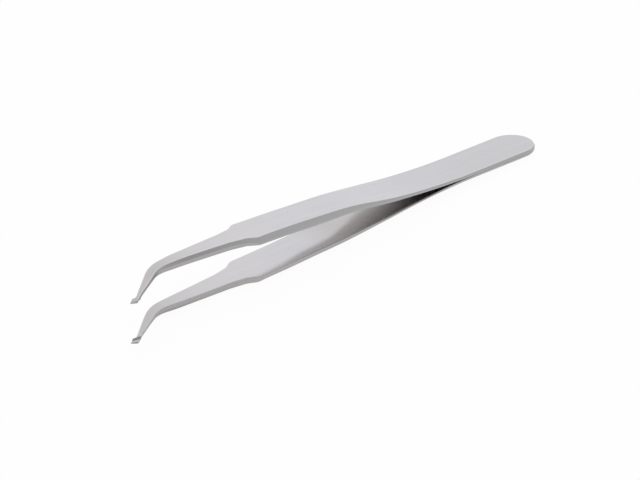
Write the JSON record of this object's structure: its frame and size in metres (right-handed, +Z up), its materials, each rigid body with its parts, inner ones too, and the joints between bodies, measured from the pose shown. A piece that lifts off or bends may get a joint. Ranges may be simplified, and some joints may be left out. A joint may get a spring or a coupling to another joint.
{
  "type": "angled tweezers",
  "caption": "Slim stainless spring tweezers for fine electronics work, welded at the tail, with tips bent sideways and ending in stepped jaws.",
  "frame": {"origin": "under the middle of the box, on the surface the tweezers lie on", "axes": "+X from the tips towards the tail, +Z up, close to the direction in which the arms open, and -Y towards the side the tips bend to"},
  "size_m": [0.12, 0.0138, 0.0121],
  "materials": {
    "steel": "satin ground",
    "weld": "fused, hidden between the arms"
  },
  "bodies": {
    "tail": {"upper_tail": "steel", "lower_tail": "steel", "spot_welds": "weld"},
    "upper": {"upper_arm": "steel"},
    "lower": {"lower_arm": "steel"}
  },
  "joints": [
    {"name": "upper_flex", "type": "hinge", "parent": "tail", "child": "upper", "pos_m": [0.02709, 0.00191, 0.00299], "axis": [0, -1, 0], "range_deg": [0, 2.66], "stiffness_Nm_per_rad": 2.3},
    {"name": "lower_flex", "type": "hinge", "parent": "tail", "child": "lower", "pos_m": [0.02704, 0.00191, 0.00208], "axis": [0, 1, 0], "range_deg": [0, 2.66], "stiffness_Nm_per_rad": 2.3}
  ],
  "couplings": [
    {"joint": "lower_flex", "follows": "upper_flex", "ratio": 1}
  ]
}
